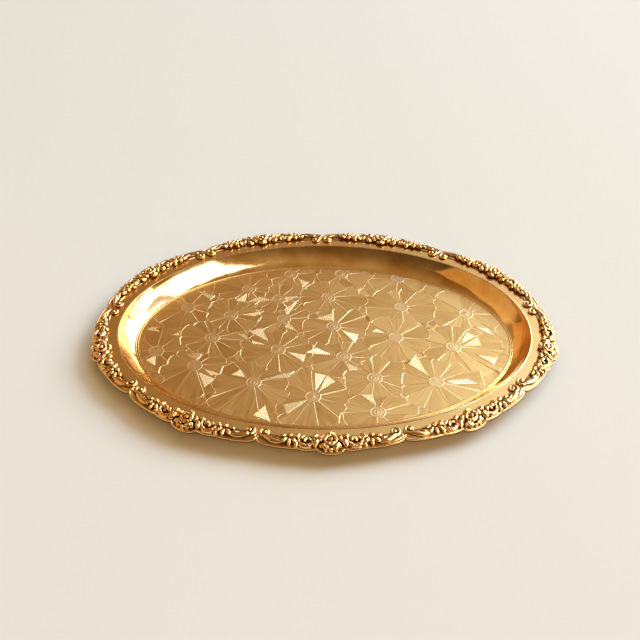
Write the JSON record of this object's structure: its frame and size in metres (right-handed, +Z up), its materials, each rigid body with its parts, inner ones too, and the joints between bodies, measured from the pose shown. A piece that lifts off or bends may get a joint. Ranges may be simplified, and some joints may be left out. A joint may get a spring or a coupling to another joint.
{
  "type": "serving tray",
  "caption": "Oval gilt brass tray with a shallow engraved well, a level flange and a cast border of scrolls, shells and flowers.",
  "frame": {"origin": "middle of the underside of the floor, on the surface that the tray stands on", "axes": "+X along the length, +Y to the back, +Z up"},
  "size_m": [0.3288, 0.2332, 0.0194],
  "materials": {
    "gilt_sheet": "satin gilt with an engraved floor, a polished wall and a brushed flange",
    "gilt_casting": "polished gilt high points over darkened recesses"
  },
  "bodies": {
    "root": {"pan": "gilt_sheet", "border_casting_1": "gilt_casting", "border_casting_2": "gilt_casting", "border_casting_3": "gilt_casting", "border_casting_4": "gilt_casting", "border_casting_5": "gilt_casting", "border_casting_6": "gilt_casting", "border_casting_7": "gilt_casting", "border_casting_8": "gilt_casting", "border_casting_9": "gilt_casting"}
  },
  "joints": []
}
